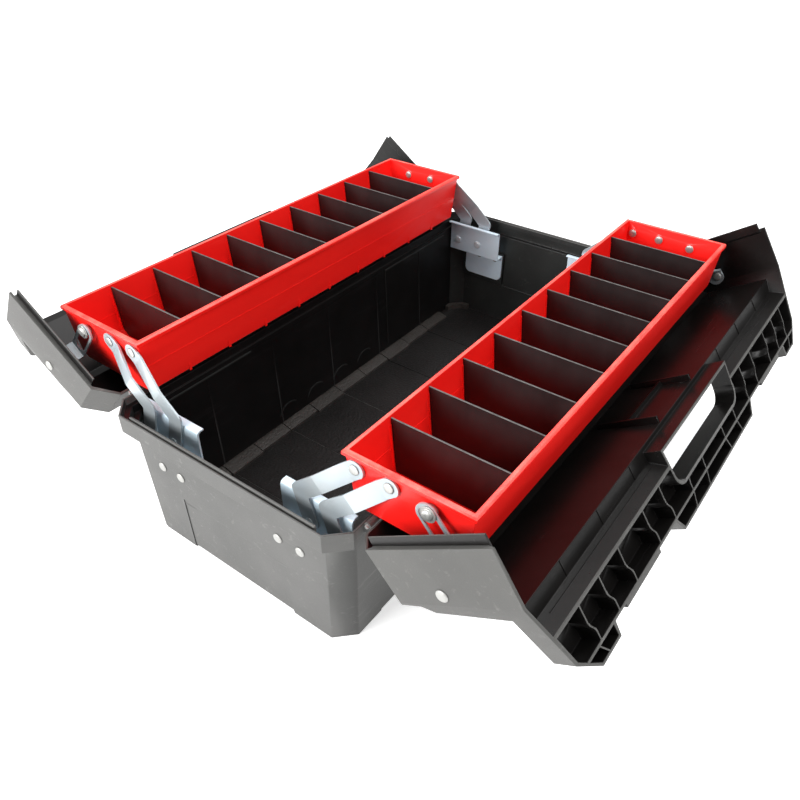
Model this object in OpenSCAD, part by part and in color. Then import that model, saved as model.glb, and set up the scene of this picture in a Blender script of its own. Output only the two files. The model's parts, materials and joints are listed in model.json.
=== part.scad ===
// Cantilever tool box: a chamfered plastic bin, two wing lids and two divided
// trays that swing out together on plated steel arms.
// Millimetres. X runs across the box (right lid at +X), Y along it (near end at
// -Y), Z up. The origin is the middle of the box on the surface it stands on.
// The model stands fully open.

/* [Bin] */
// Length over the rim, end to end
rim_length = 530; // [520:1:540]
// Width over the rim
rim_width = 252; // [250:1:256]
// Height of the rim's top edge
bin_height = 134.3; // [133:0.1:135]
// Wall thickness of the bin and the lids
wall = 2.5; // [2:0.1:2.6]
// Height of the corner feet under the floor
foot_height = 3; // [2:0.5:4]

/* [Trays] */
// Length of a tray over its lip
tray_length = 471; // [466:1:471]
// Width of a tray over its lip
tray_width = 105; // [104.6:0.2:105]
// Depth of a tray
tray_depth = 52.3; // [48:0.1:52.4]
// Height of the tray's top edge with the box open
tray_top = 189.2; // [188.5:0.1:190]
// Distance from the box's centre to a tray's centre, open
tray_offset = 158.8; // [158.8:0.1:159.2]
// Number of dividers in each tray
divider_count = 9; // [4:1:12]
// Thickness of a divider
divider_t = 1.6; // [1.2:0.1:2]

/* [Linkage] */
// How far a tray travels inwards as the box closes
tray_travel = 105.2; // [104.8:0.1:105.4]
// How far a lid swings from open to closed, in degrees
lid_swing = 145.6; // [144.6:0.2:146]
// Distance between the two parallel arms of one end
arm_pitch = 28.8; // [28.4:0.1:28.9]
// Width of an arm
arm_width = 15; // [14:0.2:15]
// Thickness of the arm steel
arm_t = 1.8; // [1.6:0.1:1.8]
// Radius of the pivot rivets' shanks
rivet_r = 2.5; // [2.2:0.1:2.6]
// How fast the strap turns on the lid, as a fraction of the lid's own swing
strap_ratio = 0.25; // [0.25:0.01:0.26]

/* [Lids] */
// Height of the roof shelf over the hinge
lid_shelf = 47; // [46.8:0.1:47.4]
// Height of the roof over the hinge, past the shelf
lid_roof = 53; // [52.6:0.1:54]
// Height of the middle ridge over the hinge
ridge_top = 105.5; // [104:0.5:107]
// Height of the grip block over the hinge
grip_top = 117.7; // [116:0.1:119]
// Thickness of the ribs in the ridge
rib_t = 1.4; // [1.2:0.1:1.8]

/* [Latches] */
// Width of a latch
latch_w = 50; // [40:1:54]
// Distance of a latch from the box's middle
latch_y = 152; // [148:1:154]

/* [Hidden] */

hl = rim_length/2;
hw = rim_width/2;
rim_low = bin_height - 17.3;
chamf = 16;

// hinge axis of the lids
hx = 129;
hz = 133.6;
phi = 180 - lid_swing;
knuckle_r = 2.9;
rod_r = 1.5;
hinge_half = 238;

// arm pivots: on the bracket (b), on the tray (t), and the bend between (k)
bx = 76; bz = 107;
tx = 117; tz = 177;
kx = 68.5; kz = 134;
ax = tx - bx; az = tz - bz;
arm_len = sqrt(ax*ax + az*az);
th1 = atan2(ax, az);
th2 = asin((tray_travel - ax)/arm_len);
arm_swing = th1 + th2;

// planes along Y, measured from the middle
y_tray = 233.7;   // arm face against the tray
y_plate = 236.8;  // bracket plate
y_arm_in = 239.1; // lower half of the inner arm
y_arm_out = 242;  // lower half of the outer arm
y_strap = 236.6;  // strap on the tray
y_strap_lid = 256.9; // strap on the lid

// strap pivots: on the tray (s) and on the lid (q)
sx = 178.5; sz = 176;
qx = 206.7; qz = 142.8;
strap_len = sqrt(pow(qx - sx, 2) + pow(qz - sz, 2));
strap_ang = atan2(sz - qz, qx - sx);

// lid body
seam = hx - 0.3;
lid_hl = 262.3;
u_wall = 2.5;
roof_t = 1.8;
lean = 5.8/42.7;
lid_ch = 17.2;
u_ridge = 112;

plastic = [0.16, 0.16, 0.165];
steel = [0.78, 0.81, 0.84];
red = [0.86, 0.10, 0.07];

function rot2(v, a) = [v[0]*cos(a) - v[1]*sin(a), v[0]*sin(a) + v[1]*cos(a)];
// where the tray's strap pin lies in the strap, for a lid turned by a degrees
function pin_abs(a) = [sx, sz] + rot2([ax, az], a*arm_swing/lid_swing) - [ax, az];
function q_abs(a) = [hx, hz] + rot2([qx - hx, qz - hz], a);
function pin_rel(a) =
  let (d = rot2(pin_abs(a) - q_abs(a), -(1 + strap_ratio)*a) - [sx - qx, sz - qz],
       c = [(qx - sx)/strap_len, (qz - sz)/strap_len])
  [d[0]*c[0] + d[1]*c[1], -d[0]*c[1] + d[1]*c[0]];

// rectangle with 45 degree corners, half sizes a (X) and b (Y)
function chamfered(a, b, c) = [[a, -b + c], [a, b - c], [a - c, b], [-a + c, b],
  [-a, b - c], [-a, -b + c], [-a + c, -b], [a - c, -b]];
// plan of a lid at height v, inset by t
function lid_plan(t, v) =
  let (u0 = u_wall + lean*v + t, c = lid_ch - 0.586*t, b = lid_hl - t)
  [[u0, -b + c], [u0 + c, -b], [160, -b], [160, b], [u0 + c, b], [u0, b - c]];
function pts3(p, z) = [for (q = p) [q[0], q[1], z]];

// straight-sided solid between two outlines with the same number of points
module loft(p0, z0, p1, z1) {
  n = len(p0);
  polyhedron(concat(pts3(p0, z0), pts3(p1, z1)),
    concat([[for (i = [0:n-1]) i]], [[for (i = [0:n-1]) 2*n-1-i]],
           [for (i = [0:n-1]) [i, i + n, (i + 1)%n + n, (i + 1)%n]]));
}
// outline in X and Z, between two Y planes
module xz(y0, y1) translate([0, y1, 0]) rotate([90, 0, 0]) linear_extrude(y1 - y0) children();
// outline in Y and Z, between two X planes
module yz(x0, x1) translate([x0, 0, 0]) rotate([90, 0, 90]) linear_extrude(x1 - x0) children();
// round bar along Y
module ybar(x, z, r, y0, y1) translate([x, y1, z]) rotate([90, 0, 0]) cylinder(r = r, h = y1 - y0, $fn = 40);
// domed rivet head: flat at y0, dome towards +Y (up = 1) or -Y (up = -1)
module head(x, z, r, h, y0, up) translate([x, y0, z]) rotate([up > 0 ? -90 : 90, 0, 0])
  rotate_extrude($fn = 40) polygon([[0, 0], [r, 0], [r, h*0.35], [r*0.86, h*0.72], [r*0.6, h*0.93], [r*0.3, h], [0, h]]);
module side(s) { if (s > 0) children(); else mirror([1, 0, 0]) children(); }
module end(s) { if (s > 0) children(); else mirror([0, 1, 0]) children(); }
module ends() { children(); mirror([0, 1, 0]) children(); }
module sides() { children(); mirror([1, 0, 0]) children(); }
// lid frame: X from the hinge to the seam, Y along the box, Z up when closed
module lid_frame_left() translate([-hx, 0, hz]) rotate([0, -lid_swing, 0]) children();

// ---------------------------------------------------------------- bin
module bin_solid() {
  loft(chamfered(hw - 9.7 + 0.1, hl - 11.5 + 0.05, chamf - 0.6), foot_height,
           chamfered(hw - 5.5, hl - 8.8, chamf), rim_low + 0.01);
  translate([0, 0, rim_low]) linear_extrude(bin_height - rim_low) polygon(chamfered(hw, hl, chamf));
  // corner feet
  sides() ends() linear_extrude(foot_height + 1) polygon([[60, 208], [hw - 10, 208],
    [hw - 10, hl - 12 - chamf + 0.6], [hw - 10 - chamf + 0.6, hl - 12], [60, hl - 12]]);
}
module bin_shell() color(plastic) difference() {
  union() {
    difference() {
      bin_solid();
      // inside
      loft(chamfered(hw - 9.7 - wall, hl - 11.5 - wall, chamf - 2), foot_height + wall,
               chamfered(hw - 5.5 - wall, hl - 8.8 - wall, chamf - 1.5), rim_low + 2.6);
      translate([0, 0, rim_low + 2.5]) linear_extrude(40) polygon(chamfered(hw - 6.3, hl - 6.1, chamf - 2.5));
      // step inside the outer lip
      translate([0, 0, bin_height - 6.8]) linear_extrude(40) polygon(chamfered(hw - 1.8, hl - 1.8, chamf - 1));
      // shallow panel on each end wall
      ends() translate([-60, hl - 11.5 - 0.8, -1]) rotate([-1.357, 0, 0]) cube([120, 6, 62]);
    }
    // rail along each end wall, with round ends
    ends() translate([0, hl - 6.1, bin_height - 7.5]) {
      translate([-100, 0, 0]) cube([200, 2.3, 7]);
      for (s = [-1, 1]) translate([s*100, 1.15, 0]) cylinder(r = 1.15, h = 7, $fn = 24);
    }
    // raised pads behind the brackets
    sides() ends() translate([44, 250, 56]) cube([60, hl - 10.9 - 250, 41]);
    // low ribs that stiffen the floor and the long walls
    for (i = [-2:2]) translate([-100, i*84 - 0.8, foot_height + wall - 0.5]) cube([200, 1.6, 1.3]);
    sides() for (i = [-2:2]) translate([hw - 12.6, i*84 - 0.8, foot_height + 1]) rotate([0, 2.1, 0]) cube([2, 1.6, 108]);
    // hinge knuckles
    sides() for (i = [0:2:8]) knuckle_bin(i);
  }
  // rod bore and reliefs for the lids' knuckles
  sides() {
    ybar(hx, hz, rod_r + 0.03, -hinge_half - 1, hinge_half + 1);
    for (i = [1:2:7]) ybar(hx, hz, knuckle_r + 0.5, knuckle_y(i) - 0.2, knuckle_y(i + 1) + 0.2);
  }
  // rivet holes in the end walls
  ends() for (x = [-78, -55.3, 55.3, 78]) ybar(x, 88.8, rivet_r + 0.02, 245, hl);
}
function knuckle_y(i) = -hinge_half + i*2*hinge_half/9;
module knuckle_bin(i) {
  ybar(hx, hz, knuckle_r, knuckle_y(i) + 0.2, knuckle_y(i + 1) - 0.2);
  translate([hw - 1.5, knuckle_y(i) + 0.2, hz - 8]) cube([hx - hw + 1.5, 2*hinge_half/9 - 0.4, 7.4]);
}

// ---------------------------------------------------------------- lids
side_outer = [[-4, 2], [-4, lid_shelf - 0.9], [9.3, lid_shelf - 0.9], [43, lid_shelf], [51.5, lid_roof],
  [u_ridge, lid_roof + 2.2], [u_ridge, 125], [seam, 125], [seam, 2]];
side_inner = [[-4, -10], [-4, lid_shelf - 0.9 - roof_t], [9.3, lid_shelf - 0.9 - roof_t], [44.1, lid_shelf - roof_t],
  [52.5, lid_roof - roof_t], [u_ridge + wall, lid_roof + 2.2 - roof_t], [u_ridge + wall, 66], [140, 75.6], [140, -10]];
side_cells = [[u_ridge + wall, 68.4], [140, 78.2], [140, 125], [u_ridge + wall, 125]];
front_half = [[lid_hl, -10], [lid_hl, 44], [245.6, 98], [225, 116.3], [198, 116.3], [197, ridge_top],
  [92, ridge_top], [84, grip_top]];
front_in_half = [[lid_hl - wall, -11], [lid_hl - wall, 43.6], [lid_hl - wall - 10.5, 77.5]];
function mirrored(p) = concat(p, [for (i = [len(p) - 1:-1:0]) [-p[i][0], p[i][1]]]);
// cells of the ridge
cells_main = mirrored([[249.6, 74], [243, 97], [236.4, ridge_top - 2.3]]);
cells_grip = mirrored([[88.9, ridge_top], [82.4, grip_top - 2.2]]);
cells_horn = [[200.3, ridge_top], [200.3, 114], [224.2, 114], [234, ridge_top]];
tunnel_top = 57;
function arc(cx, cy, r, a0, a1, n) = [for (i = [0:n]) [cx + r*cos(a0 + (a1 - a0)*i/n), cy + r*sin(a0 + (a1 - a0)*i/n)]];
function tunnel_half(o) = concat([[73 - o, tunnel_top + o]], arc(57, 79.5, 14 - o, -8, 90, 12));
rib_y = [221, 193.5, 164.6, 123.3, 93.6];
// centre line of a ridge rib: straight, then a small S towards the middle
function s_step(v) = v < 87 ? 0 : v > 97 ? 1 : (1 - cos(18*(v - 87)))/2;
function rib_line(y0, v0, v1, sh, n) = [for (i = [0:n]) let (v = v0 + (v1 - v0)*i/n) [y0 - sh*s_step(v), v]];
module rib_2d(y0, v0, v1, sh) {
  p = rib_line(y0, v0, v1, sh, 14);
  polygon(concat([for (q = p) [q[0] - rib_t/2, q[1]]], [for (i = [14:-1:0]) [p[i][0] + rib_t/2, p[i][1]]]));
}
module lid_prism(side_pts, front_pts) intersection() {
  xz(-300, 300) polygon(side_pts);
  yz(-10, 150) polygon(front_pts);
}
module lid_outer() intersection() {
  lid_prism(side_outer, mirrored(front_half));
  loft(lid_plan(0, -12), -12, lid_plan(0, 130), 130);
}
module lid_inner() intersection() {
  lid_prism(side_inner, mirrored(front_in_half));
  loft(lid_plan(wall, -13), -13, lid_plan(wall, 130), 130);
}
module cells(p) intersection() {
  xz(-300, 300) polygon(side_cells);
  yz(100, 135) polygon(p);
}
module lid_ribs() {
  ends() {
    for (y = rib_y) yz(u_ridge + 1, seam) rib_2d(y, 70, ridge_top - 1, 4.5);
    for (y = [20.5, 50]) {
      yz(u_ridge + 1, seam) rib_2d(y, 92, ridge_top - 1, -3);
      yz(u_ridge + 1, seam) translate([3, 0]) polygon([[y - rib_t/2, ridge_top - 1], [y + rib_t/2, ridge_top - 1],
        [y + 4 + rib_t/2, grip_top - 1], [y + 4 - rib_t/2, grip_top - 1]]);
    }
    yz(u_ridge + 1, seam) polygon([[220, ridge_top - 1], [221.6, ridge_top - 1], [214, 115], [212.4, 115]]);
  }
}
module lid_body() {
  difference() {
    union() {
      difference() {
        lid_outer();
        lid_inner();
        difference() {
          union() {
            cells(cells_main);
            cells(cells_grip);
            ends() cells(cells_horn);
          }
          lid_ribs();
        }
      }
      // hand hole through the ridge, with its own walls
      yz(u_ridge, seam) polygon(mirrored(tunnel_half(0)));
      // two cross ribs and one long rib on the roof in front of the hand hole
      ends() translate([60, 34, lid_roof - 6]) cube([u_ridge - 58, 2, 6]);
      translate([86, -34, lid_roof - 4.4]) cube([2, 68, 4.8]);
      // lip inside each end wall
      ends() yz(24, 124.4) polygon([[256.8, -5], [258.3, -5], [258.3, 2], [260.5, 2], [260.5, 6], [256.8, 4]]);
      // hinge knuckles
      for (i = [1:2:7]) {
        ybar(0, 0, knuckle_r, knuckle_y(i) + 0.2, knuckle_y(i + 1) - 0.2);
        translate([0, knuckle_y(i) + 0.2, 1.1]) cube([5.2, 2*hinge_half/9 - 0.4, 7]);
      }
    }
    yz(u_ridge - 1, seam + 1) polygon(mirrored(tunnel_half(2.7)));
    ybar(0, 0, rod_r + 0.03, -hinge_half - 1, hinge_half + 1);
    for (i = [0:2:8]) ybar(0, 0, knuckle_r + 0.5, knuckle_y(i) - 0.2, knuckle_y(i + 1) + 0.2);
    // strap rivets
    ends() ybar(q_u, q_v, rivet_r + 0.02, 255, 265);
  }
}
// strap rivet in the lid's own frame
q_u = (qx - hx)*cos(phi) + (qz - hz)*sin(phi);
q_v = (qx - hx)*sin(phi) - (qz - hz)*cos(phi);
latch_u = 114;
latch_v = ridge_top + 4.8;
module lid_right() color(plastic) mirror([1, 0, 0]) lid_frame_left() {
  lid_body();
  // keepers for the latches
  ends() translate([u_ridge + 2, latch_y - 29, ridge_top - 0.5]) cube([seam - u_ridge - 2, 58, 3.5]);
}
module lid_left() color(plastic) lid_frame_left() difference() {
  union() {
    lid_body();
    // lugs for the latch pins
    for (s = [-1, 1]) for (d = [-1, 1]) translate([latch_u - 3.4, s*latch_y + d*(latch_w/2 + 2.9) - 2.4, ridge_top - 0.5])
      cube([6.8, 4.8, 8.4]);
  }
  for (s = [-1, 1]) ybar(latch_u, latch_v, 1.53, s*latch_y - latch_w/2 - 8, s*latch_y + latch_w/2 + 8);
}

// ---------------------------------------------------------------- trays
tz0 = tray_top - tray_depth;
tl = tray_length/2 - 1.6;
tw = tray_width/2 - 1.6;
tray_t = 2.2;
function tray_l(z) = tl - 4.5*(tray_top - z)/tray_depth;
function tray_w(z) = tw - 4.6*(tray_top - z)/tray_depth;
// block whose four walls lean: half sizes l0, w0 at height z0 and l1, w1 at z1
module rect_loft(l0, w0, z0, l1, w1, z1) intersection() {
  xz(-l0 - 20, l0 + 20) polygon([[-w0, z0], [w0, z0], [w1, z1], [-w1, z1]]);
  yz(-w0 - 20, w0 + 20) polygon([[-l0, z0], [l0, z0], [l1, z1], [-l1, z1]]);
}
pitch = 2*(tl - 1)/(divider_count + 1);
// the bottom edge on a tray's outer side is cut at 45 degrees, to clear the lid
tray_cut = 6;
module edge_cut(w, z, c) xz(-300, 300) polygon([[w - c, z], [w - c - 20, z - 20], [w + 30, z - 20], [w + 30, z + c + 30]]);
module lip_block() intersection() {
  xz(-tray_length/2, tray_length/2) lip_2d(tray_width/2);
  yz(-tray_width/2, tray_width/2) lip_2d(tray_length/2);
}
module lip_2d(w) polygon([[-w, tray_top - 4], [w, tray_top - 4], [w, tray_top - 1.3], [w - 1, tray_top],
  [-w + 1, tray_top], [-w, tray_top - 1.3]]);
module tray() difference() {
  union() {
    difference() {
      union() {
        difference() {
          rect_loft(tray_l(tz0), tray_w(tz0), tz0, tl, tw, tray_top);
          edge_cut(tray_w(tz0), tz0, tray_cut);
        }
        lip_block();
      }
      difference() {
        rect_loft(tray_l(tz0 + tray_t) - tray_t, tray_w(tz0 + tray_t) - tray_t, tz0 + tray_t,
                  tray_l(tray_top + 1) - tray_t, tray_w(tray_top + 1) - tray_t, tray_top + 1);
        edge_cut(tray_w(tz0) - tray_t, tz0 + tray_t, tray_cut - 0.586*tray_t);
      }
    }
    // flats for the rivets, outside and inside
    ends() for (p = [[tx - tray_offset, tz], [tx + arm_pitch - tray_offset, tz], [sx - tray_offset, sz]])
      ybar(p[0], p[1], 5.4, 230, 233.3);
    // guide ribs for the dividers, on both long walls
    sides() for (i = [1:divider_count]) for (d = [-1, 1])
      translate([0, (i - (divider_count + 1)/2)*pitch + d*(divider_t/2 + 1), 0]) xz(-0.7, 0.7)
        polygon([[tray_w(tz0 + 8) - tray_t - 0.9, tz0 + 8], [tray_w(tz0 + 8) - 0.8, tz0 + 8],
                 [tray_w(tray_top - 7) - 0.8, tray_top - 7], [tray_w(tray_top - 7) - tray_t - 0.9, tray_top - 7]]);
  }
  ends() for (p = [[tx - tray_offset, tz], [tx + arm_pitch - tray_offset, tz], [sx - tray_offset, sz]])
    ybar(p[0], p[1], rivet_r + 0.02, 220, 240);
}
module tray_at(s) side(s) translate([tray_offset, 0, 0]) children();
module tray_foot_ribs() for (i = [1:divider_count]) translate([-tray_w(tz0) - 0.9, (i - (divider_count + 1)/2)*pitch, tz0])
  yz(0, 1.6) polygon([[-1.2, -1.2], [1.2, -1.2], [1.2, 6], [-1.2, 6]]);
module tray_right() color(red) tray_at(1) { tray(); tray_foot_ribs(); }
module tray_left() color(red) tray_at(-1) { tray(); tray_foot_ribs(); }
module dividers(s) color([0.1, 0.09, 0.09]) tray_at(s) for (i = [1:divider_count])
  translate([0, (i - (divider_count + 1)/2)*pitch + divider_t/2, 0]) rotate([90, 0, 0]) linear_extrude(divider_t)
    polygon([[-tray_w(tz0) + tray_t + 0.5, tz0 + tray_t], [tray_w(tz0) - tray_t - 5.6, tz0 + tray_t],
             [tray_w(tz0 + 5.5) - tray_t - 0.5, tz0 + tray_t + 5.1],
             [tray_w(tray_top - 2) - tray_t - 0.3, tray_top - 2], [-tray_w(tray_top - 2) + tray_t + 0.3, tray_top - 2]]);
module dividers_right() dividers(1);
module dividers_left() dividers(-1);

// ---------------------------------------------------------------- steel parts
module bracket() color(steel) difference() {
  union() {
    // plate with its top flange
    yz(46, 115.5) polygon([[y_plate, 93], [y_plate, 126], [y_plate - 0.7, 127.6], [y_plate - 2.2, 128.2], [231.3, 128.2], [231.3, 130],
      [y_plate - 1.8, 130], [y_plate + 0.7, 129], [y_plate + 1.8, 126.6], [y_plate + 1.8, 94.8], [250, 94.8], [250, 93]]);
    // tab on the wall
    xz(248, 250) polygon(concat([[46, 94.8], [46, 68]], arc(53, 68, 7, 180, 270, 6), arc(91, 68, 7, 270, 360, 6), [[98, 94.8]]));
  }
  for (x = [bx, bx + arm_pitch]) ybar(x, bz, rivet_r + 0.02, 230, 243);
  for (x = [55.3, 78]) ybar(x, 88.8, rivet_r + 0.02, 246, 252);
  // the web stops at the tab's end
  translate([98, 241.6, 90]) cube([20, 12, 8]);
}
lo_a = atan2(kx - bx, kz - bz);
up_x = tx - kx; up_z = tz - kz;
up_a = atan2(up_x, up_z);
up_l = sqrt(up_x*up_x + up_z*up_z);
jog_in = 24;     // where the inner and the outer arm start to lean towards the tray
jog_out = 28;
jog_end = 56.5;
aw = arm_width/2;
// points of the arm's dog-leg: s mm from the bend, w mm to the right of its middle
function along(s, w) = [kx + s*sin(up_a) + w*cos(up_a), kz + s*cos(up_a) - w*sin(up_a)];
function below(w) = [bx + w*cos(lo_a), bz - w*sin(lo_a)];
bend_in = aw/cos((up_a - lo_a)/2);
function dog_leg(s) = concat([below(-aw), below(aw),
  [kx + bend_in*cos((up_a + lo_a)/2), kz - bend_in*sin((up_a + lo_a)/2)], along(s, aw), along(s, -aw)],
  arc(kx, kz, aw, 180 - up_a, 180 - lo_a, 8));
// arm with its lower part in the plane yb, a long lean from ja on, and its end against the tray
module arm(dx, yb, ja) color(steel) translate([dx, 0, 0]) difference() {
  union() {
    xz(yb, yb + arm_t) polygon(dog_leg(ja));
    ybar(bx, bz, aw + 0.02, yb, yb + arm_t);
    translate([kx, 0, kz]) rotate([0, -(90 - up_a), 0]) {
      translate([0, 0, -aw + 0.01]) linear_extrude(2*aw - 0.02) polygon([[ja - 1, yb], [ja, yb], [jog_end, y_tray], [up_l, y_tray],
        [up_l, y_tray + arm_t], [jog_end + 0.25, y_tray + arm_t], [ja + 0.25, yb + arm_t], [ja - 1, yb + arm_t]]);
      ybar(up_l, 0, aw - 0.01, y_tray, y_tray + arm_t);
    }
  }
  ybar(bx, bz, rivet_r + 0.05, yb - 1, yb + arm_t + 1);
  ybar(tx, tz, rivet_r + 0.05, y_tray - 1, y_tray + arm_t + 1);
}
module inner_arm() arm(0, y_arm_in, jog_in);
module outer_arm() arm(arm_pitch, y_arm_out, jog_out);

strap_t = 1.6;
strap_lo = -10.3; strap_hi = 6.3;
slot_w = -2.45;          // slot's centre line, off the line of the pivots
slot_r = rivet_r + 3;    // half its width
slot_a = 0;              // its ends
slot_b = pin_rel(lid_swing)[0] - 1.4;
module strap() color(steel) translate([sx, 0, sz]) rotate([0, strap_ang, 0]) difference() {
  union() {
    ybar(0, (strap_lo + strap_hi)/2, (strap_hi - strap_lo)/2, y_strap, y_strap + strap_t);
    translate([0, 0, strap_lo]) linear_extrude(strap_hi - strap_lo) polygon([[0, y_strap], [32.2, y_strap],
      [39, y_strap_lid], [strap_len, y_strap_lid], [strap_len, y_strap_lid + strap_t], [37.4, y_strap_lid + strap_t],
      [30.6, y_strap + strap_t], [0, y_strap + strap_t]]);
    ybar(strap_len, (strap_lo + strap_hi)/2, (strap_hi - strap_lo)/2, y_strap_lid, y_strap_lid + strap_t);
  }
  ybar(strap_len, 0, rivet_r + 0.05, y_strap_lid - 1, y_strap_lid + strap_t + 1);
  // slot that the tray's pin runs in
  for (x = [slot_a, slot_b]) ybar(x, slot_w, slot_r, y_strap - 1, y_strap + strap_t + 1);
  translate([slot_a, y_strap - 1, slot_w - slot_r]) cube([slot_b - slot_a, strap_t + 2, 2*slot_r]);
}

module hinge_rod() color(steel) ybar(hx, hz, rod_r, -hinge_half - 1.5, hinge_half + 1.5);

// ---------------------------------------------------------------- rivets
module wall_rivets() color(steel) sides() ends() for (x = [55.3, 78]) {
  ybar(x, 88.8, rivet_r, 247, 256.5);
  head(x, 88.8, 3.3, 1.2, 248, -1);
  head(x, 88.8, 4.3, 1.3, hl - 9.3, 1);
}
module arm_pivot_rivets() color(steel) sides() ends() {
  for (x = [bx, bx + arm_pitch]) head(x, bz, 4.6, 1.7, y_plate, -1);
  ybar(bx, bz, rivet_r, y_plate - 0.5, y_arm_in + arm_t + 0.5);
  ybar(bx, bz, 4, y_arm_in + arm_t + 0.2, y_arm_in + arm_t + 0.75);
  ybar(bx + arm_pitch, bz, rivet_r, y_plate - 0.5, y_arm_out + arm_t + 0.6);
  ybar(bx + arm_pitch, bz, 4.5, y_plate + 1.8, y_arm_out - 0.3);
  head(bx + arm_pitch, bz, 4, 1.1, y_arm_out + arm_t + 0.3, 1);
}
module tray_rivets(s) color(steel) side(s) ends() {
  for (x = [tx, tx + arm_pitch]) {
    ybar(x, tz, rivet_r, 229.5, y_tray + arm_t + 0.8);
    head(x, tz, 4.2, 1.3, 230, -1);
    head(x, tz, 4.2, 1.1, y_tray + arm_t + 0.3, 1);
  }
  ybar(sx, sz, rivet_r, 229.5, y_strap + strap_t + 1.6);
  ybar(sx, sz, 4.6, 233.3, y_strap - 0.3);
  head(sx, sz, 4.2, 1.3, 230, -1);
  ybar(sx, sz, 6.2, y_strap + strap_t + 0.3, y_strap + strap_t + 1.1);
  head(sx, sz, 4.2, 1.9, y_strap + strap_t + 1.1, 1);
}
module tray_rivets_right() tray_rivets(1);
module tray_rivets_left() tray_rivets(-1);
module lid_rivets(s) color(steel) side(s) ends() {
  ybar(qx, qz, rivet_r, y_strap_lid - 0.8, lid_hl + 0.5);
  head(qx, qz, 4.5, 1.6, y_strap_lid - 0.3, -1);
  head(qx, qz, 4.6, 1.5, lid_hl, 1);
}
module lid_rivets_right() lid_rivets(1);
module lid_rivets_left() lid_rivets(-1);

// ---------------------------------------------------------------- latches
latch_hang = 90 + phi;
latch_reach = 2*(seam - latch_u) + 0.6;
module latch_on_left(s) lid_frame_left() translate([latch_u, s*latch_y, latch_v]) rotate([0, -latch_hang, 0]) children();
module latch() color(plastic) difference() {
  union() {
    ybar(0, 0, 2.6, -latch_w/2, latch_w/2);
    // plate, arched over the seam, and its hook
    xz(-latch_w/2, latch_w/2) polygon([[0, -0.2], [3.2, -0.9], [latch_reach + 1.3, -0.9], [latch_reach + 1.3, -3.6],
      [latch_reach + 0.4, -4.2], [latch_reach + 3, -4.2], [latch_reach + 3, 0.4], [latch_reach + 2.2, 1.3], [1.5, 1.9], [0, 2.5]]);
    // finger tab
    xz(-latch_w/4, latch_w/4) polygon([[latch_reach + 2.5, -3.4], [latch_reach + 6.5, -4.2], [latch_reach + 6.5, -2.8], [latch_reach + 2.5, -1.2]]);
  }
  ybar(0, 0, 1.53, -latch_w/2 - 1, latch_w/2 + 1);
}
module latch_near() latch_on_left(-1) latch();
module latch_far() latch_on_left(1) latch();
module latch_pins() color(steel) for (s = [-1, 1]) latch_on_left(s) ybar(0, 0, 1.5, -latch_w/2 - 5.3, latch_w/2 + 5.3);

bin_shell();
lid_right();
lid_left();
tray_right();
tray_left();
dividers_right();
dividers_left();
side(1) end(-1) bracket();  // bracket_right_near
side(1) end(1) bracket();  // bracket_right_far
side(-1) end(-1) bracket();  // bracket_left_near
side(-1) end(1) bracket();  // bracket_left_far
side(1) end(-1) inner_arm();  // inner_arm_right_near
side(1) end(1) inner_arm();  // inner_arm_right_far
side(-1) end(-1) inner_arm();  // inner_arm_left_near
side(-1) end(1) inner_arm();  // inner_arm_left_far
side(1) end(-1) outer_arm();  // outer_arm_right_near
side(1) end(1) outer_arm();  // outer_arm_right_far
side(-1) end(-1) outer_arm();  // outer_arm_left_near
side(-1) end(1) outer_arm();  // outer_arm_left_far
side(1) end(-1) strap();  // strap_right_near
side(1) end(1) strap();  // strap_right_far
side(-1) end(-1) strap();  // strap_left_near
side(-1) end(1) strap();  // strap_left_far
side(1) hinge_rod();  // hinge_rod_right
side(-1) hinge_rod();  // hinge_rod_left
wall_rivets();
arm_pivot_rivets();
tray_rivets_right();
tray_rivets_left();
lid_rivets_right();
lid_rivets_left();
latch_near();
latch_far();
latch_pins();
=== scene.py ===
import json
import math

import bmesh
import bpy
from mathutils import Matrix, Vector

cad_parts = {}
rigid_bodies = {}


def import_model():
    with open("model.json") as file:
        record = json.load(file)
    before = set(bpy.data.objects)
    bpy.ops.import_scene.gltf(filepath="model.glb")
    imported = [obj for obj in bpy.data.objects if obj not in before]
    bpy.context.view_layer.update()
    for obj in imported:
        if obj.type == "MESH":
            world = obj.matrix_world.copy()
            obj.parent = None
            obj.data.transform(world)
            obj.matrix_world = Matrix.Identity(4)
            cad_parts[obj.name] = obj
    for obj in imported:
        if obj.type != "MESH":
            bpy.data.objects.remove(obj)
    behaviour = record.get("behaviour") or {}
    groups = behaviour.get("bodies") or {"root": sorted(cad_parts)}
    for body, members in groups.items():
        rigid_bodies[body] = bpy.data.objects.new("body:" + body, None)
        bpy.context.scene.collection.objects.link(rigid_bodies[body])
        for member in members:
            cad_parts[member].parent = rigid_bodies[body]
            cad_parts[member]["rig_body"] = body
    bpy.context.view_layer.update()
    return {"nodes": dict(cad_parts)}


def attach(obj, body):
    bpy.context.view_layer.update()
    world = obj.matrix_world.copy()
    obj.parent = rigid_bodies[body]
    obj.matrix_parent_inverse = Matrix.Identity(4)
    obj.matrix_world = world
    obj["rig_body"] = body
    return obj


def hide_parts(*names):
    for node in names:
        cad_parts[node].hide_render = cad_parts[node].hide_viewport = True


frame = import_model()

NODES = frame["nodes"]
MM = 0.001
scene = bpy.context.scene

# ------------------------------------------------------------------ frame numbers, as in the construction
HX, HZ = 129.0, 133.6
SWING = 145.6
PHI = math.radians(180 - SWING)
SHELF, ROOF, RIDGE, GRIP = 47.0, 53.0, 105.5, 117.7
HW, HL = 126.0, 265.0
SEAM, U_RIDGE = HX - 0.3, 112.0
LID_HL = 262.3


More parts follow.
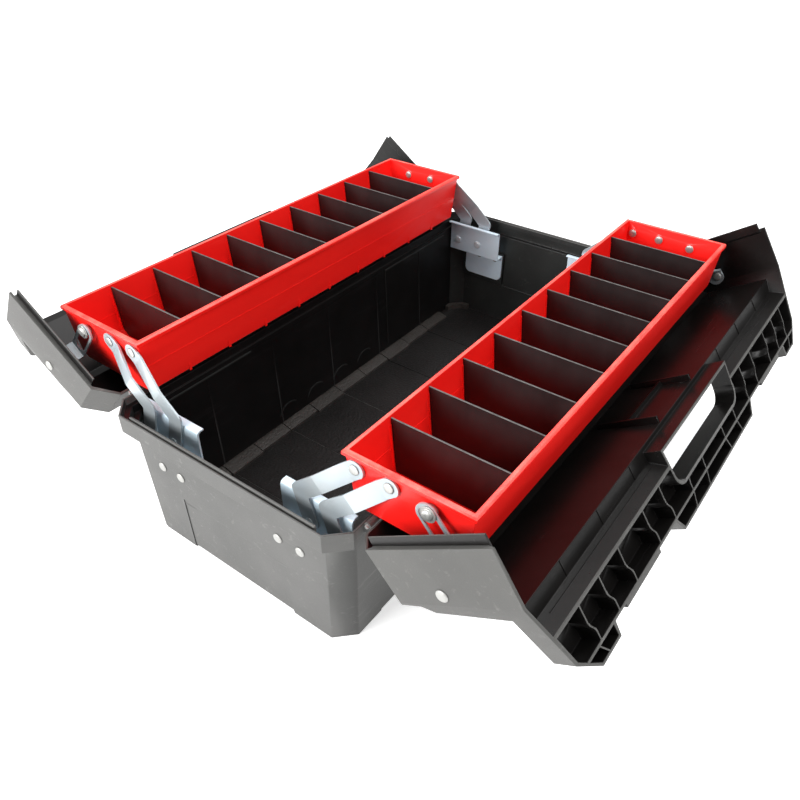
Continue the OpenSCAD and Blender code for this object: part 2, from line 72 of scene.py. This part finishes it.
def lid_point(side, u, y, v):
    """A point of a lid: u from the hinge towards the seam, v up when closed, all in mm, side +1 right or -1 left."""
    x = HX + u * -math.cos(math.pi - PHI) + v * math.sin(PHI)
    z = HZ + u * math.sin(PHI) - v * math.cos(PHI)
    return Vector((side * x * MM, y * MM, z * MM))


def lid_matrix(side):
    """From (u, y, v) in mm to the row frame."""
    o = lid_point(side, 0, 0, 0)
    cu = lid_point(side, 1, 0, 0) - o
    cy = lid_point(side, 0, 1, 0) - o
    cv = lid_point(side, 0, 0, 1) - o
    m = Matrix.Identity(4)
    for i, c in enumerate((cu, cy, cv)):
        for r in range(3):
            m[r][i] = c[r]
    m.translation = o
    return m


# ------------------------------------------------------------------ camera
def make_camera():
    az, el, roll = math.radians(36.57), math.radians(36.94), math.radians(0.18)
    back = Vector((math.sin(az) * math.cos(el), -math.cos(az) * math.cos(el), math.sin(el)))
    right = Vector((math.cos(az), math.sin(az), 0.0))
    up = back.cross(right)
    c, s = math.cos(roll), math.sin(roll)
    r2 = right * c + up * s
    u2 = up * c - right * s
    cam = bpy.data.cameras.new("camera")
    cam.sensor_fit = "HORIZONTAL"
    cam.sensor_width = 36.0
    cam.lens = 735.66 / 800 * 36.0
    cam.clip_start, cam.clip_end = 0.02, 20.0
    ob = bpy.data.objects.new("camera", cam)
    scene.collection.objects.link(ob)
    m = Matrix.Identity(4)
    for i, col in enumerate((r2, u2, back)):
        for r in range(3):
            m[r][i] = col[r]
    m.translation = Vector((0.3556, -0.5065, 0.5055))
    ob.matrix_world = m
    scene.camera = ob


# ------------------------------------------------------------------ materials
class Tree:
    def __init__(self, name):
        self.mat = bpy.data.materials.new(name)
        self.mat.use_nodes = True
        self.nt = self.mat.node_tree
        self.nt.nodes.clear()
        self.out = self.nt.nodes.new("ShaderNodeOutputMaterial")
        self.bsdf = self.nt.nodes.new("ShaderNodeBsdfPrincipled")
        self.nt.links.new(self.bsdf.outputs[0], self.out.inputs[0])
        self.co = self.nt.nodes.new("ShaderNodeTexCoord").outputs["Object"]

    def node(self, kind, **kw):
        n = self.nt.nodes.new(kind)
        for k, v in kw.items():
            if k in n.inputs:
                self.put(n.inputs[k], v)
            else:
                setattr(n, k, v)
        return n

    def put(self, socket, v):
        if isinstance(v, bpy.types.NodeSocket):
            self.nt.links.new(v, socket)
        else:
            socket.default_value = v

    def noise(self, scale, detail=2.0, rough=0.5, stretch=None, dist=0.0):
        n = self.nt.nodes.new("ShaderNodeTexNoise")
        n.inputs["Scale"].default_value = scale
        n.inputs["Detail"].default_value = detail
        n.inputs["Roughness"].default_value = rough
        n.inputs["Distortion"].default_value = dist
        self.put(n.inputs["Vector"], self.scaled(stretch) if stretch else self.co)
        return n.outputs[0]

    def scaled(self, s):
        n = self.nt.nodes.new("ShaderNodeMapping")
        n.inputs["Scale"].default_value = s
        self.nt.links.new(self.co, n.inputs["Vector"])
        return n.outputs[0]

    def ramp(self, fac, stops):
        n = self.nt.nodes.new("ShaderNodeValToRGB")
        self.nt.links.new(fac, n.inputs[0])
        els = n.color_ramp.elements
        while len(els) < len(stops):
            els.new(0.5)
        for e, (p, c) in zip(els, stops):
            e.position = p
            e.color = (c, c, c, 1) if isinstance(c, (int, float)) else (*c, 1)
        return n.outputs[0]

    def mix(self, fac, a, b):
        n = self.nt.nodes.new("ShaderNodeMix")
        n.data_type = "RGBA"
        self.put(n.inputs[0], fac)
        for i, v in ((6, a), (7, b)):
            self.put(n.inputs[i], v if isinstance(v, bpy.types.NodeSocket) else (*v, 1))
        return n.outputs[2]

    def math(self, op, a, b=0.0, clamp=False):
        n = self.nt.nodes.new("ShaderNodeMath")
        n.operation = op
        n.use_clamp = clamp
        self.put(n.inputs[0], a)
        self.put(n.inputs[1], b)
        return n.outputs[0]

    def bump(self, height, strength, distance, normal=None):
        n = self.nt.nodes.new("ShaderNodeBump")
        n.inputs["Strength"].default_value = strength
        n.inputs["Distance"].default_value = distance
        self.nt.links.new(height, n.inputs["Height"])
        if normal:
            self.nt.links.new(normal, n.inputs["Normal"])
        return n.outputs[0]

    def set(self, **kw):
        for k, v in kw.items():
            self.put(self.bsdf.inputs[k.replace("_", " ")], v)
        return self.mat


def moulded_plastic(name, dark, light, rough=(0.42, 0.6), grain=0.00006, scuff=0.35, spec=0.5):
    t = Tree(name)
    big = t.noise(22, 3, 0.55)
    fine = t.noise(900, 3, 0.6)
    micro = t.noise(2600, 2, 0.5)
    scr = t.noise(150, 4, 0.65, stretch=(1, 0.12, 1), dist=0.6)
    scr_m = t.ramp(scr, [(0.60, 0.0), (0.72, 1.0)])
    col = t.mix(t.ramp(big, [(0.3, 0.0), (0.75, 1.0)]), dark, light)
    col = t.mix(t.math("MULTIPLY", scr_m, scuff), col, tuple(min(1, c * 1.9 + 0.01) for c in light))
    r = t.math("ADD", t.math("MULTIPLY", fine, rough[1] - rough[0]), rough[0])
    r = t.math("ADD", r, t.math("MULTIPLY", scr_m, -0.05), clamp=True)
    n1 = t.bump(micro, 0.55, grain)
    n2 = t.bump(fine, 0.4, grain * 2.2, n1)
    n3 = t.bump(t.noise(9, 2, 0.5), 0.18, 0.0012, n2)
    t.set(Base_Color=col, Roughness=r, Normal=n3)
    t.bsdf.inputs["Specular IOR Level"].default_value = spec
    return t.mat


def red_plastic():
    t = Tree("red_tray_plastic")
    flow = t.noise(14, 3, 0.6, stretch=(1, 0.35, 1.2), dist=1.2)
    fine = t.noise(700, 3, 0.6)
    col = t.mix(t.ramp(flow, [(0.3, 0.0), (0.7, 1.0)]), (0.90, 0.010, 0.008), (0.98, 0.018, 0.013))
    scr = t.ramp(t.noise(120, 4, 0.7, stretch=(1, 0.08, 1), dist=0.4), [(0.62, 0.0), (0.70, 1.0)])
    col = t.mix(t.math("MULTIPLY", scr, 0.12), col, (1.0, 0.10, 0.08))
    r = t.math("ADD", t.math("MULTIPLY", fine, 0.16), 0.26)
    n1 = t.bump(t.noise(1800, 2, 0.5), 0.30, 0.00003)
    n2 = t.bump(t.noise(30, 2, 0.5), 0.12, 0.0008, n1)
    t.set(Base_Color=col, Roughness=r, Normal=n2)
    t.bsdf.inputs["Specular IOR Level"].default_value = 0.38
    t.bsdf.inputs["Subsurface Weight"].default_value = 0.0
    return t.mat


def red_lip():
    """The trays' top faces, paler and pinker than the red: a painted highlight of the sheen along the lips."""
    t = Tree("red_lip_painted_highlight")
    # blotchy mask of paler patches within the painted highlight
    sheen_patch_mask = t.ramp(t.noise(70, 4, 0.65, stretch=(1, 0.3, 1), dist=0.5), [(0.38, 0.0), (0.66, 1.0)])
    col = t.mix(sheen_patch_mask, (0.98, 0.050, 0.038), (1.0, 0.150, 0.115))
    r = t.math("ADD", t.math("MULTIPLY", t.noise(700, 3, 0.6), 0.16), 0.28)
    t.set(Base_Color=col, Roughness=r, Normal=t.bump(t.noise(1800, 2, 0.5), 0.3, 0.00003))
    t.bsdf.inputs["Specular IOR Level"].default_value = 0.6
    return t.mat


def divider_plastic():
    t = Tree("divider_plastic")
    sheen = t.noise(35, 3, 0.6, stretch=(1, 1, 0.5))
    fine = t.noise(1200, 2, 0.5)
    col = t.mix(t.ramp(sheen, [(0.3, 0.0), (0.75, 1.0)]), (0.008, 0.0065, 0.0065), (0.019, 0.015, 0.015))
    r = t.math("ADD", t.math("MULTIPLY", fine, 0.14), 0.30)
    n1 = t.bump(fine, 0.4, 0.00004)
    n2 = t.bump(t.noise(40, 2, 0.5), 0.2, 0.0006, n1)
    t.set(Base_Color=col, Roughness=r, Normal=n2)
    t.bsdf.inputs["Specular IOR Level"].default_value = 0.38
    return t.mat


def divider_rim():
    """Paler top faces of a divider: a painted highlight on the up-facing edges."""
    t = Tree("divider_top_painted_highlight")
    col = t.mix(t.ramp(t.noise(160, 3, 0.6), [(0.35, 0.0), (0.7, 1.0)]), (0.060, 0.055, 0.054), (0.130, 0.122, 0.118))
    t.set(Base_Color=col, Roughness=t.math("ADD", t.math("MULTIPLY", t.noise(900, 2, 0.5), 0.15), 0.40),
          Normal=t.bump(t.noise(1400, 2, 0.5), 0.4, 0.00005))
    return t.mat


def plated_steel(name, base=(0.42, 0.47, 0.495), rough=(0.34, 0.50), tint=0.35, spangle=90, metal=0.55):
    t = Tree(name)
    vor = t.nt.nodes.new("ShaderNodeTexVoronoi")
    vor.inputs["Scale"].default_value = spangle
    t.nt.links.new(t.co, vor.inputs["Vector"])
    cell = t.nt.nodes.new("ShaderNodeSeparateColor")
    t.nt.links.new(vor.outputs["Color"], cell.inputs[0])
    big = t.noise(60, 2, 0.5)
    hue = t.ramp(big, [(0.30, (base[0] * 0.93, base[1] * 0.96, base[2] * 1.04)),
                       (0.48, base), (0.62, (base[0] * 1.03, base[1] * 0.97, base[2] * 0.95)),
                       (0.75, (base[0] * 0.97, base[1] * 1.0, base[2] * 0.93))])
    col = t.mix(tint, base, hue)
    col = t.mix(t.math("MULTIPLY", cell.outputs[0], 0.12), col, tuple(c * 0.72 for c in base))
    lines = t.noise(500, 3, 0.6, stretch=(1, 1, 0.05))
    r = t.math("ADD", t.math("MULTIPLY", lines, rough[1] - rough[0]), rough[0])
    n1 = t.bump(lines, 0.25, 0.00003)
    n2 = t.bump(t.noise(45, 2, 0.5), 0.12, 0.0004, n1)
    t.set(Base_Color=col, Roughness=r, Normal=n2)
    t.bsdf.inputs["Metallic"].default_value = metal
    return t.mat


def floor_plastic(name, dark, light, spec):
    """The bin's floor: the dark plastic with a fine pebbled grain."""
    t = Tree(name)
    big = t.noise(16, 3, 0.6)
    col = t.mix(t.ramp(big, [(0.3, 0.0), (0.7, 1.0)]), dark, light)
    vor = t.nt.nodes.new("ShaderNodeTexVoronoi")
    vor.inputs["Scale"].default_value = 420
    t.nt.links.new(t.co, vor.inputs["Vector"])
    n1 = t.bump(vor.outputs["Distance"], 0.8, 0.0005)
    n2 = t.bump(t.noise(1500, 2, 0.5), 0.4, 0.00008, n1)
    r = t.math("ADD", t.math("MULTIPLY", t.noise(300, 2, 0.5), 0.2), 0.38)
    t.set(Base_Color=col, Roughness=r, Normal=n2)
    t.bsdf.inputs["Specular IOR Level"].default_value = spec
    return t.mat


M = {
    "body": moulded_plastic("dark_case_plastic", (0.064, 0.064, 0.061), (0.081, 0.080, 0.077), rough=(0.5, 0.66), grain=0.00008),
    "lid": moulded_plastic("dark_lid_plastic", (0.051, 0.050, 0.047), (0.065, 0.064, 0.060), rough=(0.46, 0.62), grain=0.00008),
    "inside": moulded_plastic("smooth_inner_plastic", (0.0042, 0.0038, 0.0036), (0.0082, 0.0074, 0.0070), rough=(0.24, 0.38),
                              grain=0.00003, scuff=0.25, spec=0.28),
    # Inner end walls get a lighter copy and inner long walls a darker copy of the same inner plastic: painted light on
    # the end walls, painted shade on the long walls.
    "end": moulded_plastic("inner_end_plastic_lit_copy", (0.0125, 0.0135, 0.0130), (0.0210, 0.0225, 0.0215), rough=(0.34, 0.5),
                           grain=0.00003, scuff=0.45, spec=0.34),
    "long": moulded_plastic("inner_long_plastic_shaded_copy", (0.0035, 0.0034, 0.0034), (0.0065, 0.0062, 0.0062), rough=(0.30, 0.44),
                            grain=0.00003, scuff=0.3, spec=0.22),
    "rib": moulded_plastic("matte_rib_plastic", (0.0032, 0.0031, 0.0031), (0.0060, 0.0058, 0.0058), rough=(0.5, 0.65),
                           grain=0.00003, scuff=0.1, spec=0.12),
    "floor": floor_plastic("bin_floor_plastic", (0.0050, 0.0048, 0.0046), (0.0120, 0.0114, 0.0110), 0.28),
    "strip": floor_plastic("bin_strip_plastic", (0.0200, 0.0175, 0.0150), (0.0400, 0.0360, 0.0320), 0.45),
    "red": red_plastic(),
    "lip": red_lip(),
    "divider": divider_plastic(),
    "divider_rim": divider_rim(),
    "steel": plated_steel("zinc_plated_steel"),
    "bracket": plated_steel("bracket_plated_steel", base=(0.64, 0.78, 0.87), rough=(0.38, 0.54), metal=0.30),
    "rivet": plated_steel("rivet_steel", base=(0.46, 0.46, 0.44), rough=(0.30, 0.5), tint=0.2, spangle=900, metal=0.7),
    "wall_rivet": plated_steel("wall_rivet_steel", base=(0.36, 0.36, 0.345), rough=(0.42, 0.58), tint=0.2, spangle=900, metal=0.55),
    "pivot": plated_steel("pivot_rivet_steel", base=(0.66, 0.74, 0.78), rough=(0.28, 0.44), tint=0.2, spangle=900, metal=0.4),
    "rod": plated_steel("rod_steel", base=(0.52, 0.51, 0.50), rough=(0.35, 0.5), tint=0.1, spangle=300),
}


# ------------------------------------------------------------------ mesh helpers
def add_object(name, bm, mats, body, replaces=(), smooth=35, weighted=True):
    me = bpy.data.meshes.new(name)
    bm.normal_update()
    bm.to_mesh(me)
    bm.free()
    for m in mats:
        me.materials.append(m)
    for p in me.polygons:
        p.use_smooth = True
    me.set_sharp_from_angle(angle=math.radians(smooth))
    ob = bpy.data.objects.new(name, me)
    scene.collection.objects.link(ob)
    if weighted:
        w = ob.modifiers.new("weighted", "WEIGHTED_NORMAL")
        w.keep_sharp = True
        w.weight = 80
    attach(ob, body)
    if replaces:
        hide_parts(*replaces)
    return ob


def edge_angle(e):
    if len(e.link_faces) != 2:
        return 0.0
    return e.calc_face_angle(0.0)


def welded(node, weld=2e-6):
    """The CAD node's mesh as one closed bmesh of planar faces."""
    bm = bmesh.new()
    bm.from_mesh(NODES[node].data)
    bmesh.ops.remove_doubles(bm, verts=bm.verts, dist=weld)
    bmesh.ops.dissolve_limit(bm, angle_limit=math.radians(0.4), verts=bm.verts, edges=bm.edges)
    bmesh.ops.triangulate(bm, faces=bm.faces)
    return bm


def soften(bm, width, segments=2, min_len=3.0, min_angle=28, concave=True):
    """Rounds the long, clean edges by width mm."""
    w = width * MM
    short = 1.6 * w

    def clean(e):
        if edge_angle(e) < math.radians(min_angle) or e.calc_length() < min_len * MM:
            return False
        if not concave and not e.is_convex:
            return False
        for v in e.verts:
            for o in v.link_edges:
                if o is not e and o.calc_length() < short:
                    return False
        return True

    edges = [e for e in bm.edges if clean(e)]
    if edges:
        bmesh.ops.bevel(bm, geom=edges, offset=w, offset_type="OFFSET", segments=segments, profile=0.5,
                        affect="EDGES", clamp_overlap=False, loop_slide=False, harden_normals=False)
    return bm


BODY_OF = {n: o["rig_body"] for n, o in NODES.items()}


def refine(node, mats, width=0.5, segments=2, min_len=3.0, skin=None):
    """The CAD node with rounded edges; skin(centre, normal) in mm picks the material of a face."""
    bm = soften(welded(node), width, segments, min_len)
    mats = mats if isinstance(mats, (list, tuple)) else [mats]
    if skin:
        bm.normal_update()
        for f in bm.faces:
            f.material_index = skin(f.calc_center_median() / MM, f.normal)
    return add_object(node + "_finish", bm, mats, BODY_OF[node], (node,))


def bin_skin(c, n):
    """0 outside, 1 inside (the darker shaded copy of the inner plastic, painted shade), 2 floor, 3 inside of the end
    walls (the lighter lit copy, painted light), 4 the low ribs of the long walls.
    """
    off = abs(c.y - 84 * round(c.y / 84))
    if abs(c.x) > 106 and 8 < c.z < 118 and abs(c.y) < 175 and (off < 0.85 or (off < 1.5 and abs(n.x) < 0.99)):
        return 4
    if n.z < -0.6:
        return 0 if c.z < 30 or c.z > 100 else 1
    if n.z > 0.6:
        return 0 if c.z > 132 else (2 if c.z < 12 else 1)
    if max(abs(c.x) - HW, abs(c.y) - HL) > -1.9 and c.z > 110:
        return 0
    if n.x * c.x / HW + n.y * c.y / HL > 0:
        return 0
    return 3 if abs(n.y) > 0.5 and abs(c.y) > 240 else 1


def lid_edge(v):
    """Half length of a lid's outline at height v."""
    if v < 44:
        return LID_HL
    if v < 98:
        return LID_HL + (245.6 - LID_HL) * (v - 44) / 54
    return 245.6 + (225 - 245.6) * (v - 98) / 18.3


def lid_skin(side):
    inv = lid_matrix(side).inverted()
    rot = inv.to_3x3()

    # 0 is the outer lid plastic, 1 the dark inner plastic; the seam face and, inside the lid, the ledge tops and ridge
    # rib faces take the lighter outer plastic as a painted highlight on those edges.
    def pick(c, n):
        u, y, v = inv @ (c * MM)
        d = (rot @ n).normalized()
        y, top = abs(y), RIDGE
        dy = d.y if (inv @ (c * MM)).y > 0 else -d.y
        if 198 < y < 225:
            top = 116.3
        elif y < 92:
            top = GRIP if y < 84 else RIDGE + (GRIP - RIDGE) * (92 - y) / 8
        if d.z < -0.6 and v < 8:
            return 0
        if d.x > 0.6 and u > SEAM - 1:
            return 0
        if u < U_RIDGE + 1 and d.z > 0.4 and v > SHELF - 2.2:
            return 0 if v > (SHELF - 1.2 if u < 48 else ROOF - 1) else 1
        if d.z > 0.4 and v > top - 1.3:
            return 0
        if dy > 0.25 and y > lid_edge(v) - 1.4:
            return 0
        if d.x < -0.5 and (u < 22 or (abs(u - U_RIDGE) < 1.2 and v > ROOF)):
            return 0
        if v > RIDGE + 0.5 and (abs(y - 197.5) < 1.6 and dy < -0.3):
            return 0
        return 1

    return pick


make_camera()

refine("bin_shell", [M["body"], M["long"], M["floor"], M["end"], M["rib"]], 0.6, skin=bin_skin)
for s, g in (("right", 1), ("left", -1)):
    refine("lid_" + s, [M["lid"], M["inside"]], 0.45, skin=lid_skin(g))
    # material 1 paints a highlight on the trays' up-facing top faces
    refine("tray_" + s, [M["red"], M["lip"]], 0.35, min_len=12.0, skin=lambda c, n: 1 if c.z > 187.6 and n.z > 0.3 else 0)
    # material 1 paints a highlight on the dividers' up-facing faces
    refine("dividers_" + s, [M["divider"], M["divider_rim"]], 0.35, skin=lambda c, n: 1 if n.z > 0.5 else 0)
    for e in ("near", "far"):
        for k in ("bracket", "inner_arm", "outer_arm", "strap"):
            refine(f"{k}_{s}_{e}", M["bracket" if k == "bracket" else "steel"], 0.3, min_len=2.0)
    refine("hinge_rod_" + s, M["rod"], 0.3, min_len=0.2)
    refine("tray_rivets_" + s, M["rivet"], 0.2, min_len=0.2)
    refine("lid_rivets_" + s, M["wall_rivet"], 0.2, min_len=0.2)
refine("wall_rivets", M["wall_rivet"], 0.2, min_len=0.2)
refine("arm_pivot_rivets", M["pivot"], 0.2, min_len=0.2)
for n in ("latch_near", "latch_far"):
    refine(n, M["lid"], 0.4)
refine("latch_pins", M["rod"], 0.2, min_len=0.2)


# ------------------------------------------------------------------ moulded details
def prism(bm, outline, axis, a, b, matrix=None):
    """Closed prism of a 2-D outline in mm, along axis 0, 1 or 2, between a and b."""
    rings = []
    for t in (a, b):
        ring = []
        for p, q in outline:
            v = [p, q]
            v.insert(axis, t)
            v = Vector(v)
            ring.append(bm.verts.new((matrix @ v) if matrix else v * MM))
        rings.append(ring)
    n = len(outline)
    faces = [bm.faces.new(rings[0]), bm.faces.new(rings[1])]
    for i in range(n):
        faces.append(bm.faces.new((rings[0][i], rings[0][(i + 1) % n], rings[1][(i + 1) % n], rings[1][i])))
    return faces


def detail(name, bm, mats, body, slot):
    bmesh.ops.recalc_face_normals(bm, faces=bm.faces)
    return add_object(name, bm, mats, body, smooth=30)


def arc_band(cy, cz, r0, r1, a0, a1, n=16):
    pts = [(cy + r1 * math.cos(math.radians(a0 + (a1 - a0) * i / n)), cz + r1 * math.sin(math.radians(a0 + (a1 - a0) * i / n))) for i in range(n + 1)]
    pts += [(cy + r0 * math.cos(math.radians(a1 - (a1 - a0) * i / n)), cz + r0 * math.sin(math.radians(a1 - (a1 - a0) * i / n))) for i in range(n + 1)]
    return pts


def wall_x(z):
    return 113.8 + 0.0368 * (z - 5.5)


def bin_details():
    # sloped strips at the foot of the long walls, in segments
    bm = bmesh.new()
    for g in (1, -1):
        y = -214.0
        for k in range(10):
            w = 15.0 if k % 3 == 1 else 13.0
            y1 = y + 41.6
            prism(bm, [(g * 113.7, 5.4), (g * 113.9, 10.0), (g * 110.5, 10.2), (g * (113.7 - w), 7.3), (g * (113.2 - w), 5.4)], 1, y, y1)
            y = y1 + 1.0
    # low shelves in the corners of the floor
    for gx in (1, -1):
        for gy in (1, -1):
            prism(bm, [(gx * 113.2, gy * 236.6), (gx * 99.6, gy * 250.3), (gx * 90, gy * 250.6), (gx * 90, gy * 245.5),
                       (gx * 99.0, gy * 243.5), (gx * 107.6, gy * 234.4), (gx * 108.6, gy * 227), (gx * 113.2, gy * 227)], 2, 5.3, 11.6)
    detail("bin_foot_strips", bm, [M["strip"]], "bin", "black_plastic")
    # thin rails, upright lines and arc marks on the long walls
    bm = bmesh.new()
    for g in (1, -1):
        for a, b in ((-222, -112), (101, 222)):
            x = wall_x(113.5)
            prism(bm, [(g * (x + 0.2), 112.6), (g * (x - 0.9), 112.9), (g * (x - 0.9), 114.2), (g * (x + 0.2), 114.6)], 1, a, b)
        for y in (101.6,):
            prism(bm, [(g * (wall_x(16) + 0.2), 16), (g * (wall_x(16) - 0.55), 16.6), (g * (wall_x(113) - 0.55), 112.6), (g * (wall_x(113) + 0.2), 113)], 1, y - 0.5, y + 0.5)
        for y in (-72, -29, 14, 57):
            x = wall_x(24)
            prism(bm, arc_band(y, 13, 15.4, 16.8, 158, 52), 0, g * (x + 0.6), g * (x - 0.55))
    # low line across each end wall
    for g in (1, -1):
        for a, b in ((-64, -46), (-44.5, 64)):
            prism(bm, [(g * 252.4, 51.9), (g * 251.5, 52.5), (g * 251.5, 53.3), (g * 252.4, 53.9)], 0, a, b)
    # The wall marks take the lighter end-wall copy, so on the long walls they show as pale lines of painted light.
    detail("bin_wall_marks", bm, [M["end"]], "bin", "black_plastic")


def lid_details(side, name):
    m = lid_matrix(side)
    bm = bmesh.new()
    # fold line along the sloping seat beside the seam
    for g in (1, -1):
        for u, v in ((118.6, 68.0),):
            prism(bm, [(u - 0.45, v + 0.2), (u + 0.45, v + 0.5), (u + 0.35, v - 0.75), (u - 0.25, v - 0.95)], 1, g * 78.5, g * 236, m)
        # ribs across the drop face
        for y in (96, 150, 204):
            prism(bm, [(u_, v_) for u_, v_ in ((113.6, 54.5), (115.0, 54.0), (115.0, 65.5), (113.6, 66.0))], 1, g * y - 0.5, g * y + 0.5, m)
    detail(name, bm, [M["inside"]], "lid_" + ("right" if side > 0 else "left"), "black_plastic")


def tray_details(side, name):
    """The step half way up a tray's walls."""
    bm = bmesh.new()
    w = 50.9 - 4.6 * (189.2 - 162.0) / 52.3
    l = 233.9 - 4.5 * (189.2 - 162.0) / 52.3
    o = 158.8
    z0, z1 = 161.6, 162.5
    for g in (1, -1):
        x = w - 2.2
        a, b = side * (o + g * (x - 0.30)), side * (o + g * (x + 0.25))
        prism(bm, [(a, z0), (b, z0), (b, z1), (a, z1)], 1, -l + 2.0, l - 2.0)
        prism(bm, [(g * (l - 2.5), z0), (g * (l - 1.9), z0), (g * (l - 1.9), z1), (g * (l - 2.5), z1)], 0, side * (o - w + 2.0), side * (o + w - 2.0))
    a, b = side * (o - w - 0.28), side * (o - w + 0.3)
    prism(bm, [(a, z0), (b, z0), (b, z1), (a, z1)], 1, -l, l)
    detail(name, bm, [M["red"]], "tray_" + ("right" if side > 0 else "left"), "red_plastic")


bin_details()
for s, g in (("right", 1), ("left", -1)):
    lid_details(g, f"lid_{s}_lines")
    tray_details(g, f"tray_{s}_step")


# ------------------------------------------------------------------ floor, light
def make_stage():
    bm = bmesh.new()
    bmesh.ops.create_grid(bm, x_segments=2, y_segments=2, size=6.0)
    me = bpy.data.meshes.new("floor")
    bm.to_mesh(me)
    bm.free()
    t = Tree("floor_white")
    t.set(Base_Color=(0.88, 0.88, 0.88, 1), Roughness=0.85)
    t.bsdf.inputs["Emission Color"].default_value = (1, 1, 1, 1)
    t.bsdf.inputs["Emission Strength"].default_value = 0.62
    me.materials.append(t.mat)
    ob = bpy.data.objects.new("floor", me)
    scene.collection.objects.link(ob)
    ob.location = (0, 0, -0.0004)
    w = bpy.data.worlds.new("studio")
    w.use_nodes = True
    bg = w.node_tree.nodes["Background"]
    bg.inputs[0].default_value = (1, 1, 1, 1)
    bg.inputs[1].default_value = 0.40
    scene.world = w

    def area(name, loc, target, size, power, col=(1, 1, 1)):
        li = bpy.data.lights.new(name, "AREA")
        li.shape = "RECTANGLE"
        li.size, li.size_y = size
        li.energy = power
        li.color = col
        o = bpy.data.objects.new(name, li)
        scene.collection.objects.link(o)
        o.location = loc
        o.rotation_mode = "QUATERNION"
        o.rotation_quaternion = (Vector(target) - Vector(loc)).to_track_quat("-Z", "Y")
        return o

    area("key", (-0.85, -2.0, 0.95), (0, 0, 0.1), (1.7, 0.9), 84)
    area("fill", (1.3, -0.1, 1.75), (0, 0, 0.1), (1.2, 1.2), 27)
    area("top", (-0.3, 0.6, 2.0), (0, 0, 0.1), (1.6, 1.6), 26)


make_stage()
scene.view_settings.view_transform = "Standard"
scene.view_settings.look = "None"
scene.view_settings.exposure = 0.0
scene.view_settings.gamma = 1.0
